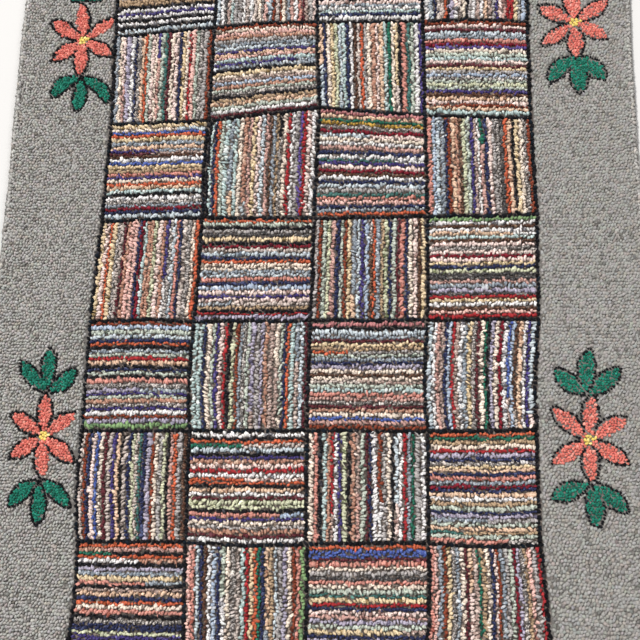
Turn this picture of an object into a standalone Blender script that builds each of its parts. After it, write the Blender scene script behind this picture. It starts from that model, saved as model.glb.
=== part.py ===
"""A hooked rug lying flat: a burlap foundation with its turned-under hem, and the hooked pile on it.

Metres, +Z up, X across the rug and Y along it. The origin is on the floor, under the rug's centre.
The pile is one flat mat. Its four by eight square blocks are a little crowned, the dark rows that
outline them lie lower, and the corners of the blocks wander as they do in work done by hand.
"""

import math

import bmesh
import bpy
from mathutils import Vector, noise

# Driving dimensions
RUG_WIDTH = 0.914
RUG_LENGTH = 1.524
BLOCK_WIDTH = 0.155
BLOCK_LENGTH = 0.150
BLOCKS_ACROSS = 4
BLOCKS_ALONG = 8
CLOTH_THICKNESS = 0.0013
HEM_WIDTH = 0.030
PILE_HEIGHT = 0.0062

# How the pieces meet
FIT_GAP = 0.0003  # between the foundation and the pile
PILE_OVERHANG = 0.0020  # the edge loops lean out past the folded edge
HEM_RAMP = 0.006  # the cloth comes down from its hem to the floor over this distance
FOLD_ROUNDING = 0.0015
FOLD_EDGE_HEIGHT = 0.75  # share of the hem's thickness left at the very edge

# Relief and unevenness
CORNER_RADIUS = 0.014
EDGE_WANDER = 0.0030  # how far the rug's sides draw in between their furthest points
EDGE_WAVE_LENGTH = 0.41
PILE_ROUNDING = 0.006
PILE_EDGE_HEIGHT = 0.45  # share of the pile's height left at the very edge
OUTLINE_WIDTH = 0.009  # the dark rows round a block
OUTLINE_DEPTH = 0.0011
BLOCK_CROWN = 0.0008
LUMP_HEIGHT = 0.0006
LUMP_SIZE = 0.055

# Where the corners of the blocks lie off the even grid, in millimetres. A row stands for one line of
# corners across the rug. Its columns: how many blocks lie between it and the +Y end, the shifts along X
# of its five corners from -X to +X, and their shifts along Y. Lines that aren't listed are even.
CORNER_SHIFTS = (
    (2, (3, 0, 0, 2, -1), (-8, 2, 6, 2, -5)),
    (3, (7, -2, 6, 4, -2), (-2, 1, 18, 2, -5)),
    (4, (4, -4, 2, 7, 3), (-3, 1, -2, -1, 0)),
    (5, (-3, -8, 0, 6, 0), (-2, -2, 0, 0, 2)),
    (6, (-2, -7, -2, 5, -8), (-6, -4, -2, -2, 2)),
    (7, (4, -5, 1, 5, -8), (-3, -1, 0, 5, 5)),
)
MILLIMETRE = 0.001

# Where the meshes have their lines, from the rug's edge inwards and, in a block, as shares of its size
PILE_EDGE_LINES = (
    0,
    0.3 * PILE_ROUNDING,
    PILE_ROUNDING,
    CORNER_RADIUS,
    HEM_WIDTH,
    HEM_WIDTH + HEM_RAMP,
    0.09,
)
PILE_BLOCK_LINES = (0, 0.06, 0.50, 0.94)
CLOTH_EDGE_LINES = (
    PILE_OVERHANG,
    PILE_OVERHANG + FOLD_ROUNDING,
    CORNER_RADIUS,
    HEM_WIDTH,
    HEM_WIDTH + HEM_RAMP,
    0.09,
)
CLOTH_BLOCK_LINES = (0, 0.5)

# Worked out from them
HALF_WIDTH = RUG_WIDTH / 2
HALF_LENGTH = RUG_LENGTH / 2
FIELD_HALF_WIDTH = BLOCK_WIDTH * BLOCKS_ACROSS / 2
FIELD_HALF_LENGTH = BLOCK_LENGTH * BLOCKS_ALONG / 2

BURLAP = (0.50, 0.39, 0.25)
BORDER_GREY = (0.33, 0.31, 0.29)
OUTLINE_BLACK = (0.012, 0.013, 0.018)
BLOCK_MIX = (0.36, 0.25, 0.23)
PILE_ROUGHNESS = 0.95
BURLAP_ROUGHNESS = 0.9


def clear_scene():
    for thing in list(bpy.data.objects):
        bpy.data.objects.remove(thing, do_unlink=True)


def material(name, colour, roughness):
    made = bpy.data.materials.new(name)
    made.use_nodes = True
    shader = made.node_tree.nodes["Principled BSDF"]
    shader.inputs["Base Color"].default_value = (*colour, 1)
    shader.inputs["Roughness"].default_value = roughness
    shader.inputs["Metallic"].default_value = 0
    return made


def mix(low, high, share):
    return low + (high - low) * share


def corner_shift(column, line):
    """How far a corner of the blocks lies off the even grid, as (along X, along Y)."""
    for listed, shifts_x, shifts_y in CORNER_SHIFTS:
        if listed == line:
            return Vector((shifts_x[column], shifts_y[column])) * MILLIMETRE
    return Vector((0, 0))


def field_shift(x, y):
    """The shift of a point in the field, from the four corners of the block that it lies in."""
    across = min(max((x + FIELD_HALF_WIDTH) / BLOCK_WIDTH, 0), BLOCKS_ACROSS)
    along = min(max((FIELD_HALF_LENGTH - y) / BLOCK_LENGTH, 0), BLOCKS_ALONG)
    column = min(int(across), BLOCKS_ACROSS - 1)
    line = min(int(along), BLOCKS_ALONG - 1)
    near = corner_shift(column, line).lerp(corner_shift(column + 1, line), across - column)
    far = corner_shift(column, line + 1).lerp(corner_shift(column + 1, line + 1), across - column)
    return near.lerp(far, along - line)


def edge_draw(distance_along, side):
    """How far one side of the rug draws in, at a distance along it. Each side has its own waves."""
    wave = math.sin(math.tau * distance_along / EDGE_WAVE_LENGTH + 2.1 * side)
    wave += 0.5 * math.sin(math.tau * distance_along / (0.37 * EDGE_WAVE_LENGTH) + side)
    return EDGE_WANDER * (1.5 - wave) / 3


def edge_shift(x, y):
    """The shift of a point on the rug's outline, inwards."""
    inward_x = -math.copysign(edge_draw(y, 1 if x > 0 else 2), x)
    inward_y = -math.copysign(edge_draw(x, 3 if y > 0 else 4), y)
    return Vector((inward_x, inward_y))


def border_share(x, y):
    """0 in the field, rising to 1 at the rug's edge, along X and along Y."""
    share_x = (abs(x) - FIELD_HALF_WIDTH) / (HALF_WIDTH - FIELD_HALF_WIDTH)
    share_y = (abs(y) - FIELD_HALF_LENGTH) / (HALF_LENGTH - FIELD_HALF_LENGTH)
    return max(share_x, 0), max(share_y, 0)


def rounded(x, y):
    """Draws the rug's square corners in to round ones."""
    part_x = (abs(x) - HALF_WIDTH) / CORNER_RADIUS + 1
    part_y = (abs(y) - HALF_LENGTH) / CORNER_RADIUS + 1
    if part_x <= 0 or part_y <= 0:
        return x, y
    round_x = part_x * math.sqrt(1 - part_y**2 / 2)
    round_y = part_y * math.sqrt(1 - part_x**2 / 2)
    return (
        math.copysign(HALF_WIDTH + (round_x - 1) * CORNER_RADIUS, x),
        math.copysign(HALF_LENGTH + (round_y - 1) * CORNER_RADIUS, y),
    )


def placed(x, y):
    """Where a point of the even, square-cornered plan lies on the rug as it was made."""
    share_x, share_y = border_share(x, y)
    from_field = field_shift(x, y) * (1 - max(share_x, share_y))
    from_edge = edge_shift(x, y)
    round_x, round_y = rounded(x, y)
    return (
        round_x + from_field.x + from_edge.x * share_x,
        round_y + from_field.y + from_edge.y * share_y,
    )


def edge_distance(x, y):
    return max(min(HALF_WIDTH - abs(x), HALF_LENGTH - abs(y)), 0)


def cloth_top(x, y):
    """The foundation's upper side: two layers high over the hem, one layer inside it."""
    distance = edge_distance(x, y)
    down = min(max((distance - HEM_WIDTH) / HEM_RAMP, 0), 1)
    return CLOTH_THICKNESS * mix(2, 1, down)


def fold_top(x, y):
    """The foundation's upper side, with its folded edge rounded off."""
    from_fold = max(edge_distance(x, y) - PILE_OVERHANG, 0)
    return cloth_top(x, y) * mix(FOLD_EDGE_HEIGHT, 1, min(from_fold / FOLD_ROUNDING, 1))


def lump(x, y):
    return LUMP_HEIGHT * noise.noise(Vector((x / LUMP_SIZE, y / LUMP_SIZE, 0)))


def block_relief(x, y):
    """Up at the middle of a block, down at the dark rows round it, and level on the border."""
    if max(border_share(x, y)) > 0:
        return 0
    across = (x + FIELD_HALF_WIDTH) % BLOCK_WIDTH
    along = (y + FIELD_HALF_LENGTH) % BLOCK_LENGTH
    to_line = min(across, BLOCK_WIDTH - across, along, BLOCK_LENGTH - along)
    if to_line < OUTLINE_WIDTH:
        return -OUTLINE_DEPTH * (1 - to_line / OUTLINE_WIDTH)
    crown = math.sin(math.pi * across / BLOCK_WIDTH) * math.sin(math.pi * along / BLOCK_LENGTH)
    return BLOCK_CROWN * crown


def pile_bottom(x, y):
    return cloth_top(x, y) + FIT_GAP


def pile_top(x, y):
    in_from_edge = min(edge_distance(x, y) / PILE_ROUNDING, 1)
    round_share = math.sqrt(1 - (1 - in_from_edge) ** 2)
    height = PILE_HEIGHT * mix(PILE_EDGE_HEIGHT, 1, round_share)
    return pile_bottom(x, y) + height + block_relief(x, y) + lump(x, y)


def mesh_lines(half_size, block, count, edge_lines, block_lines):
    """The mesh's lines from one side of the rug to the other."""
    field_start = -block * count / 2
    low_side = [distance - half_size for distance in edge_lines]
    blocks = [field_start + block * (n + share) for n in range(count) for share in block_lines]
    high_side = [-line for line in reversed(low_side)]
    return low_side + blocks + [-field_start] + high_side


def slab(name, edge_lines, block_lines, bottom, top, finish_of, materials):
    """One closed flat solid: a grid on the rug's plan, extruded, with both sides raised to their heights."""
    across = mesh_lines(HALF_WIDTH, BLOCK_WIDTH, BLOCKS_ACROSS, edge_lines, block_lines)
    along = mesh_lines(HALF_LENGTH, BLOCK_LENGTH, BLOCKS_ALONG, edge_lines, block_lines)
    steps_x, steps_y = len(across) - 1, len(along) - 1
    shape = bmesh.new()
    bmesh.ops.create_grid(shape, x_segments=steps_x, y_segments=steps_y, size=1)
    for point in shape.verts:
        column = round((point.co.x + 1) / 2 * steps_x)
        row = round((point.co.y + 1) / 2 * steps_y)
        point.co = (across[column], along[row], 0)
    raised = bmesh.ops.extrude_face_region(shape, geom=shape.faces[:])["geom"]
    upper = {item for item in raised if isinstance(item, bmesh.types.BMVert)}
    bmesh.ops.recalc_face_normals(shape, faces=shape.faces[:])
    for face in shape.faces:
        middle = face.calc_center_median()
        face.material_index = finish_of(middle.x, middle.y)
    for point in shape.verts:
        x, y = point.co.x, point.co.y
        height = top(x, y) if point in upper else bottom(x, y)
        point.co = (*placed(x, y), height)
    mesh = bpy.data.meshes.new(name)
    shape.to_mesh(mesh)
    shape.free()
    for finish in materials:
        mesh.materials.append(finish)
    mesh.shade_smooth()
    mesh.set_sharp_from_angle(angle=math.radians(40))
    return bpy.data.objects.new(name, mesh)


def pile_finish(x, y):
    """The index of the pile's material at a place: the border, the dark rows or a block."""
    if abs(x) > FIELD_HALF_WIDTH or abs(y) > FIELD_HALF_LENGTH:
        return 0
    across = (x + FIELD_HALF_WIDTH) % BLOCK_WIDTH
    along = (y + FIELD_HALF_LENGTH) % BLOCK_LENGTH
    to_line = min(across, BLOCK_WIDTH - across, along, BLOCK_LENGTH - along)
    return 1 if to_line < OUTLINE_WIDTH else 2


def foundation():
    """The burlap that the rug is hooked through, one layer thick and two over its hem."""
    burlap = material("burlap", BURLAP, BURLAP_ROUGHNESS)
    return slab(
        "foundation",
        CLOTH_EDGE_LINES,
        CLOTH_BLOCK_LINES,
        bottom=lambda x, y: 0,
        top=fold_top,
        finish_of=lambda x, y: 0,
        materials=[burlap],
    )


def pile():
    """All the hooked loops as one mat, with the blocks and the dark rows between them."""
    finishes = [
        material("border_loops", BORDER_GREY, PILE_ROUGHNESS),
        material("outline_loops", OUTLINE_BLACK, PILE_ROUGHNESS),
        material("block_loops", BLOCK_MIX, PILE_ROUGHNESS),
    ]
    return slab(
        "pile",
        PILE_EDGE_LINES,
        PILE_BLOCK_LINES,
        bottom=pile_bottom,
        top=pile_top,
        finish_of=pile_finish,
        materials=finishes,
    )


def build():
    clear_scene()
    rug = bpy.data.collections.new("hooked_rug")
    bpy.context.scene.collection.children.link(rug)
    for piece in (foundation(), pile()):
        rug.objects.link(piece)


build()
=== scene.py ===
"""The looks of the hooked rug: its burlap foundation, and every loop of its pile.

Metres, +Z up, X across the rug and Y along it, as in the frame. The plan below is the one that the
solids have: an even grid of blocks, whose corners are then moved to where they lie on the real rug. Only
the bows and the waver of the dark rows between the blocks are added to it here.
"""

import math

import bmesh
import bpy
import numpy as np
from mathutils import Euler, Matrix, Vector, kdtree, noise


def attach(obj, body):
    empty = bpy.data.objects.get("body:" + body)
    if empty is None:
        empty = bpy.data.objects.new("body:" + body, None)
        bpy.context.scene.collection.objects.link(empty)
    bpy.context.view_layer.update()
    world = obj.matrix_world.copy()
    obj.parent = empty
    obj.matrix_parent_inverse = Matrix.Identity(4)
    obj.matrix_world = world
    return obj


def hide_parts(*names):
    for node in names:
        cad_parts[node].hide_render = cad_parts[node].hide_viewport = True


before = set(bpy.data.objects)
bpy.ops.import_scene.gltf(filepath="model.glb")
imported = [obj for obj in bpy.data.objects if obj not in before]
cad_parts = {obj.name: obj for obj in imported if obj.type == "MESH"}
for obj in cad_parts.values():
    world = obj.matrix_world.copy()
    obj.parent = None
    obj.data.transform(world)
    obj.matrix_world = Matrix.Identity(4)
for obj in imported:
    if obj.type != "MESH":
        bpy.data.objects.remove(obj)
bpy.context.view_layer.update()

# ---- Sizes of the rug, as in its solids ----
RUG_WIDTH = 0.914
RUG_LENGTH = 1.524
BLOCK_WIDTH = 0.155
BLOCK_LENGTH = 0.150
BLOCKS_ACROSS = 4
BLOCKS_ALONG = 8
CLOTH_THICKNESS = 0.0013
HEM_WIDTH = 0.030
HEM_RAMP = 0.006
PILE_HEIGHT = 0.0062
FIT_GAP = 0.0003
PILE_OVERHANG = 0.0020
CORNER_RADIUS = 0.014
EDGE_WANDER = 0.0030
EDGE_WAVE_LENGTH = 0.41
PILE_ROUNDING = 0.006
PILE_EDGE_HEIGHT = 0.45
OUTLINE_WIDTH = 0.009
OUTLINE_DEPTH = 0.0011
BLOCK_CROWN = 0.0008
LUMP_HEIGHT = 0.0006
LUMP_SIZE = 0.055
HALF_WIDTH = RUG_WIDTH / 2
HALF_LENGTH = RUG_LENGTH / 2
FIELD_HALF_WIDTH = BLOCK_WIDTH * BLOCKS_ACROSS / 2
FIELD_HALF_LENGTH = BLOCK_LENGTH * BLOCKS_ALONG / 2
MILLIMETRE = 0.001

# Where the blocks' corners lie off the even grid, in millimetres: how many blocks lie between this line
# of corners and the +Y end, the shifts along X of its five corners, and their shifts along Y.
CORNER_SHIFTS = (
    (2, (3, 0, 0, 2, -1), (-8, 2, 6, 2, -5)),
    (3, (7, -2, 6, 4, -2), (-2, 1, 18, 2, -5)),
    (4, (4, -4, 2, 7, 3), (-3, 1, -2, -1, 0)),
    (5, (-3, -8, 0, 6, 0), (-2, -2, 0, 0, 2)),
    (6, (-2, -7, -2, 5, -8), (-6, -4, -2, -2, 2)),
    (7, (4, -5, 1, 5, -8), (-3, -1, 0, 5, 5)),
)
# How far some dark rows bow off the straight between two corners, in millimetres: of those along the rug,
# by their line of blocks and their corner line, and of those across it, by their corner line and column.
BOWS_ALONG = {
    (3, 1): -3, (5, 1): -4, (5, 3): -4, (5, 4): -3, (6, 0): -4, (7, 0): 3, (7, 2): 3, (7, 3): 3, (7, 4): 3,
}
BOWS_ACROSS = {(2, 1): 3, (2, 3): 3, (5, 0): 3, (7, 1): -3, (7, 3): -3}
WAVER = (0.0012, 0.055)  # and all of them waver by about this much, in bends of this size

# ---- Sizes of the hooking ----
ROWS_IN_BLOCK = 27
LOOP_PITCH = 0.0043  # along a row
LOOP_HEIGHT = 0.0038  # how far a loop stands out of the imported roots
ROOT_DEPTH = 0.0036  # how far the roots lie below the tops of the pile
OVERLAP = 1.20  # neighbouring loops of a row press into each other
ROW_OVERLAP = 1.12  # and their points reach between the loops of the next row
ROW_SWAY = (0.0011, 0.045)  # how far a block's rows sway, and the size of their bends
ROW_RIPPLE = (0.0005, 0.016)
ROW_JITTER = 0.00095  # how far single loops lie off their row
ROW_SKEW = 0.18  # how far all of a row's loops together lie slantwise
EVENED_ROWS = 9  # each nine rows are together as wide as the next nine
WIDTH_SPREAD = 0.14  # of the rows' widths, as shares of the mean, within these limits
WIDTH_LIMITS = (0.65, 1.4)
THIN_WIDTH = 0.86  # the width of rows of thin strips, next to the mean, and of all others
THICK_WIDTH = 1.12
STEP_SPREAD = 0.16  # of the steps along a row, as shares of the pitch, within these limits
STEP_LIMITS = (0.55, 1.5)
TO_EACH_SIDE = 0.001  # a row's direction is taken between points this far to each side
ACROSS_POINTS = 200  # of the route of a dark row across the rug, and of one along a block
ALONG_POINTS = 60
EDGE_POINTS = (300, 500)  # and of a row along the rug's short and long sides
CHOICES = 2  # how many strips are drawn for a row, of which one is taken
REPEAT_CHANCE = 0.08  # of a row hooked in the same strip as the row before it
CHANGE_CHANCE = 0.08  # of a row whose strip runs out part-way, and between which shares of its length
CHANGE_PLACE = (0.2, 0.9)

OUTLINE_ROW = 0.0057  # width of the dark row between blocks
OUTLINE_PITCH = 0.0060
OUTLINE_WAVER = (0.0006, 0.02)
OUTLINE_START = 0.6  # the dark rows along the rug start so many widths past the middle of one across it
ROOTS_UP = 0.0006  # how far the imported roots' top is raised over the loops' feet in the field
ROOTS_UP_BORDER = 0.0003  # and over the depth of their relief in the border

BORDER_PITCH = 0.0042  # along a row of the border
BORDER_ROW = 0.0046  # width of a row of the border
BORDER_LOOSE = 0.24  # how far its loops are knocked off their places, as a share of both
BORDER_SLANT = 0.9  # the way they lie, as an angle from X
BORDER_TURN = (1.0, 0.05)  # how much that turns from place to place, and over what size
BESIDE_FIELD = 0.0085  # loops nearer than this to the field lie along its dark row
# the border's loops from its -X side to its +X side: how far they stand out, which is less than the
# others do, how wide they are, and how far painted shade darkens their wool, more towards +X
BORDER_RELIEF = (0.0029, 0.0018)
BORDER_SIZE = (0.0051, 0.0058)
BORDER_PAINTED_SHADE = (0.98, 0.76)
BORDER_STRETCH = 1.12  # how much longer they are than that, and how much narrower
EDGE_INSETS = (0.0052, 0.0026)  # of the two rows along the rug's edge
EDGE_LEANS = (0.35, 1.05)
EDGE_HEIGHTS = (0.0040, 0.0036)
EDGE_PITCH = 0.0058
EDGE_ROW = 0.0060

# ---- Unevenness of the loops ----
SWELL = 0.10  # how far each point of a loop is moved out or in, as a share of the loop's size
DENT = 0.055  # and off its place, along it and across it, and by how much less up or down
DENT_DOWN = 0.8
SLANT = 0.20  # how far its top is pushed over, next to its height
MOTTLING = 0.14  # how unevenly a loop is dyed
BORDER_MOTTLING = 0.08
STRIP_SHADES = (0.10, 0.010)  # how much loops of one strip differ in lightness, and in tint
WOOL_SHADES = (0.05, 0.022)
FOLDED_OVER = 0.35  # this times the flecks' share is the chance that a loop's two colours change over
# how much loops of each kind turn, lie slantwise and lean, and how much they differ in size
BLOCK_SPREAD = {"skew": 0.24, "lean": 0.2, "length": 0.20, "width": 0.20, "height": 0.12}
ROW_SPREAD = {"heading": 0.15, "skew": 0.35, "length": 0.08, "width": 0.10, "height": 0.08}
WOOL_SPREAD = {"heading": 0.3, "length": 0.13, "width": 0.13, "height": 0.05}
TURNED = 0.12  # how much a block's loops turn off their row
OFF_ROW = 0.0003  # how far other loops lie off theirs
ROW_SEEDS = {"block": 1000, "outline": 77, "border": 404, "edge": 88}
PIECE_SEEDS = {
    "dark_rows": 21, "border_left_far": 15, "border_left_near": 16, "border_right_far": 16,
    "border_right_near": 17, "sprig_outlines": 64, "flower_eyes": 61, "petals": 56, "leaves": 56,
    "border_edge_rows": 99,
}

# ---- Cloth strips ----
# name, colour, its weight among the rows drawn at random, the colour of its flecks, their share of the cloth
STRIPS = (
    ("cream", "EADACA", 9, "74645A", 0.27),
    ("white", "E8E4E2", 9, "66646A", 0.27),
    ("blush", "EAD4CC", 9, "82645E", 0.27),
    ("pink", "E4BAB0", 5, "865A52", 0.26),
    ("ice", "C8D0D4", 9, "5E6A76", 0.28),
    ("aqua", "A2B6B4", 3, "DEE2DE", 0.28),
    ("mint", "BEC4B8", 2, "646C62", 0.28),
    ("slate", "7C848E", 6, "C6CACC", 0.30),
    ("sky", "98A6BA", 2, "D6DADE", 0.28),
    ("grey", "B0AAA8", 8, "56504E", 0.29),
    ("ash", "CABCB4", 8, "645852", 0.29),
    ("tweed", "64605E", 7, "DAD0CA", 0.38),
    ("taupe", "988078", 6, "D6C4BA", 0.32),
    ("dusty", "CAA298", 5, "6C4C48", 0.28),
    ("tan", "B49A7E", 2, "64503E", 0.28),
    ("peach", "DEBEA4", 4, "8A6652", 0.26),
    ("straw", "DEC8A6", 1, "86704A", 0.26),
    ("lilac", "B0A8B8", 3, "585268", 0.28),
    ("lime", "CCCCB0", 1, "6E7454", 0.27),
    ("salmon", "CC9084", 1, "8E5044", 0.26),
    ("terracotta", "A87A68", 2, "D0B09C", 0.28),
    ("rust", "864432", 1, "54281C", 0.26),
    ("brown", "4E342A", 2, "886E5C", 0.26),
    ("maroon", "54262C", 2, "784A50", 0.24),
    ("navy", "272B48", 2, "545A7C", 0.22),
    ("charcoal", "3E3C3E", 3, "86827E", 0.30),
    ("black", "17171B", 2, "444248", 0.18),
    ("orange", "C46448", 0, "8C4428", 0.24),
    ("red", "A23236", 0, "6C2024", 0.24),
    ("crimson", "7C2430", 0, "541A28", 0.24),
    ("violet", "3E3468", 0, "665E90", 0.24),
    ("purple", "5C4A88", 0, "8C7EB0", 0.24),
    ("royal", "465696", 0, "788CBE", 0.24),
    ("teal", "3C625E", 0, "648C84", 0.24),
    ("green", "84A070", 0, "5C7656", 0.26),
    ("emerald", "2E6C58", 0, "1C4A3C", 0.24),
    ("gold", "BC9648", 0, "62502A", 0.34),
    ("rose", "BC8080", 0, "804A50", 0.26),
)
# rows of these are a little narrower than the rest, which are of thicker cloth
THIN_STRIPS = (
    "orange", "rust", "red", "crimson", "maroon", "navy", "violet", "purple", "royal", "teal", "emerald",
    "gold", "black", "brown", "charcoal",
)

# The strips of each block's rows, from the -X side of a block whose rows run along the rug and
# from the +Y side of any other. A dot is a row that is drawn at random, as is a block that isn't here.
ROW_CHART = {
    (1, 0): ". . . . . . . . . . . . . . . . . . . black white violet white black white black ice",
    (1, 1): ". . . . aqua . . . . white . . . . . . . rust . . . . salmon . . . .",
    (1, 2): ". . . . . . . . . . . . . . . . . . . . black . slate . aqua navy white",
    (1, 3): ". . navy . . orange . . . . cream . . . . . . . . violet . . red . . . .",
    (2, 0): "slate cream blush lilac white navy tweed peach orange mint blush cream violet mint teal "
    "maroon cream blush navy straw cream red pink mint tweed grey rust",
    (2, 1): "rust cream pink terracotta grey slate ice violet peach pink aqua violet slate black straw "
    "cream taupe sky terracotta mint tweed black tan peach mint white maroon",
    (2, 2): "peach navy cream straw lime ice aqua navy white brown ash orange grey cream terracotta blush "
    "peach aqua emerald cream straw black salmon teal mint white violet",
    (2, 3): "rust blush maroon ice slate salmon crimson purple cream mint aqua blush maroon straw grey "
    "sky tweed mint lime mint violet brown peach blush rust peach aqua",
    (3, 0): "straw cream royal orange straw slate peach violet maroon brown white royal straw tan salmon "
    "violet cream orange peach aqua black white tweed slate crimson navy ice",
    (3, 1): "black aqua navy orange mint aqua slate aqua cream terracotta dusty straw blush ice dusty "
    "brown slate tan black cream red white grey purple red blush white",
    (3, 2): "rose peach emerald gold tweed crimson ice cream white dusty navy white teal violet blush "
    "crimson brown white navy ice grey teal salmon pink navy slate orange",
    (3, 3): "salmon sky ice slate navy rust peach terracotta brown lime mint violet taupe white emerald "
    "navy blush grey tweed charcoal orange peach black straw cream tweed rust",
    (4, 0): ". . orange . tweed . maroon . pink . navy crimson aqua terracotta . lime . terracotta violet "
    ". . salmon navy . tweed . orange",
    (4, 1): "orange mint black grey charcoal straw black crimson ash ice navy orange cream cream slate "
    "ice salmon navy sky blush violet blush slate tan black red lilac",
    (4, 2): "grey rust mint lime dusty navy mint rust straw slate ice violet sky tweed orange slate tan "
    "lime navy mint maroon salmon navy cream blush brown straw",
    (4, 3): "green . brown . peach . brown . tweed . crimson . straw navy lime . . . slate lilac charcoal "
    "red straw . brown . red",
    (5, 0): "rust sky mint ice navy orange black slate mint red peach black navy mint black salmon tweed "
    "lilac violet mint terracotta tweed violet white rust lilac green",
    (5, 1): "aqua aqua navy cream mint violet blush red black lime rust slate tweed mint lilac grey lilac "
    "terracotta taupe cream mint navy orange aqua slate ice maroon",
    (5, 2): "rose black ice slate maroon straw tan orange mint slate navy lilac cream brown cream ash "
    "mint aqua salmon dusty tweed maroon terracotta cream royal dusty rust",
    (5, 3): ". . dusty taupe navy sky red . . slate straw . maroon . emerald . lilac . crimson . royal "
    "sky . peach . violet ice",
    (6, 0): "ash rust navy blush royal cream maroon ash violet peach black ash navy lime ash teal navy "
    "lilac rust cream grey lime black dusty orange grey brown",
    (6, 1): "white black orange emerald . black violet terracotta . red . orange . black . . maroon lime "
    ". black salmon violet . . terracotta maroon white",
    (6, 2): "cream salmon black aqua terracotta red white violet lime black terracotta taupe mint maroon "
    "navy white rust grey cream black ice white red slate emerald grey white",
    (6, 3): "orange emerald tan cream red lilac navy tweed straw peach navy salmon slate crimson navy "
    "peach white tan mint navy lilac slate mint peach teal mint salmon",
    (7, 0): "orange terracotta emerald orange . black lilac slate straw salmon black . . navy orange . . "
    "black tweed . . lime violet . . . .",
    (7, 1): ". salmon . navy brown . . navy mint . tweed . . red straw orange emerald navy peach tan . . "
    "lilac . rust . green",
    (7, 2): "orange royal royal maroon salmon cream grey charcoal salmon cream mint teal straw red navy "
    "blush dusty lilac mint straw navy lilac cream tan maroon grey rust",
    (7, 3): "salmon pink slate rust straw tweed slate cream maroon peach taupe emerald tan cream navy "
    "blush rust slate grey mint crimson lilac tweed tan pink grey red",
}

# ---- Flower sprigs ----
# the flower's centre; how far from it the leaves spring, their width, their bend and how slowly they
# narrow to their tips; each petal's direction in degrees, its length, its width and the side without a
# dark row (1 left, -1 right, looking outwards, 0 none); and the tips of the three leaves below and of the
# three above, from where they spring. Lengths are in millimetres.
SPRIGS = (
    ((-357, 287), (65, 17.5, 0.14, 0.68),
     ((95, 60, 20, 1), (37, 60, 15.5, -1), (-28, 53, 19, 0), (-92, 61, 19, 0), (-141, 57, 19, 0),
      (150, 60, 20, 0)),
     ((-40, -32), (-3, -55), (42, -42)), ((-38, 38), (2, 58), (40, 40))),
    ((375, 292), (57, 22, 0.06, 0.68),
     ((94, 60, 22, -1), (33, 57, 20, 0), (-30, 55, 19, 1), (-89, 55, 22, 0), (-145, 58, 19, 0),
      (150, 59, 20, 0)),
     ((-38, -33), (4, -54), (40, -35)), ((-40, 40), (-2, 58), (40, 38))),
    ((-366, -313), (63, 18.5, 0.05, 0.78),
     ((92, 58, 19, 0), (37, 54, 19, -1), (-35, 58, 20, 0), (-88, 57, 19, 1), (-145, 56, 19, 0),
      (150, 57, 19, 0)),
     ((-42, -34), (-2, -58), (45, -31)), ((-40, 38), (2, 58), (41, 29))),
    ((368, -310), (60, 19.5, 0.04, 0.78),
     ((84, 58, 18, 0), (32, 57, 19, -1), (-32, 56, 19, 0), (-89, 56, 18.5, 0), (-144, 55, 20, 1),
      (137, 59, 19.5, 0)),
     ((-47, -20), (5, -52), (42, -32)), ((-38, 33), (5, 59), (42, 36))),
)
# a stray end of dark cloth below one leaf, in millimetres
STRAY_END = ((346, 202), (343, 199), (340, 197), (337, 195), (335, 192))
EYE_SIZE = 0.0075
# where the loops of a flower's yellow eye lie, in millimetres from its centre
EYE_LOOPS = ((0, 0), (4.4, 0.6), (-4.3, -0.7), (1.9, 4.5), (-2.4, 4.2), (2.5, -4.4), (-2.1, -4.6), (8.2, 1.8))
EYE_RING = 0.011  # out to here there is only petal or dark row round the eye
HELD_APART = {"dark": 0.0014, "fill": 0.0018, "ground": 0.0022}  # half of the least space between loops
SPRIG_REACH = (0.075, 0.135)  # each way from the flower's centre
PETAL_ROOT = 0.005  # how far a petal springs from the centre
PETAL_PLUMP = 0.88  # how slowly it narrows
LEAF_ROOTS = (0.0036, 0.0045)  # how far the outer leaves and the middle one spring from their root
MIDDLE_BEND = 0.03
LENS_POINTS = 24
MOTIF_PITCH = 0.0038  # of the loops in petals and leaves
MOTIF_ROW = 0.87 * MOTIF_PITCH
MOTIF_LOOSE = 0.16
DARK_PITCH = 0.0036  # along the dark rows round them
DARK_OFFSET = 0.0020  # from a petal's or leaf's own edge
DARK_JITTER = 0.0004
OFF_SHAPE = 0.0005  # least distance of a dark loop from the other petals and leaves, and from the eye
OFF_TWIN = 0.0025  # of a dark loop from another
OFF_EYE = 0.0030  # of a petal's loops from an eye's
OFF_DARK = 0.0026  # of other loops from dark ones
OFF_MOTIF = 0.0012  # of the ground's loops from petals and leaves
OFF_FIELD = 0.0045  # of the ground's loops from the field, and from the rug's edge
OFF_EDGE = 0.0080
DARK_SIZE = 0.0041  # how wide the sprigs' loops are
EYE_LOOP_SIZE = 0.0056
MOTIF_SIZE = 0.0051
WOOL_STRETCH = 0.95
SETTLE_ROUNDS = 8
NEIGHBOURS = 7
SETTLE_SHARE = 0.42  # of the missing space that a loop moves in one round, up to this far
SETTLE_STEP = 0.002
GUARD_STEP = 0.005

# ---- The cloth below, the floor, the camera and the lights ----
JUTE = ("A98A5E", "CDB183")
# painted shade: the dark colour between the jute threads of the weave
JUTE_GAP = "5A4528"
FLOOR_COLOUR = (0.62, 0.61, 0.60, 1)
FLOOR_SIZE = 40
CAMERA_PLACE = (0.126, -0.422, 1.211)
CAMERA_TURN = (12.78, 5.09, 1.12)  # degrees
CAMERA_LENS = 50.6  # millimetres, as is the width of its sensor
CAMERA_SENSOR = 36
# name, place, diameter, power in watts and colour of each light; all of them point at the rug's middle
LIGHTS = (
    ("key_light", (-5.4, 6.5, 10.1), 2.7, 2080, (1, 0.985, 0.965)),
    ("fill_light", (4.4, -2.6, 4.8), 4.0, 190, (1, 1, 1)),
)
ROOM_LIGHT = 0.38


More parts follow.
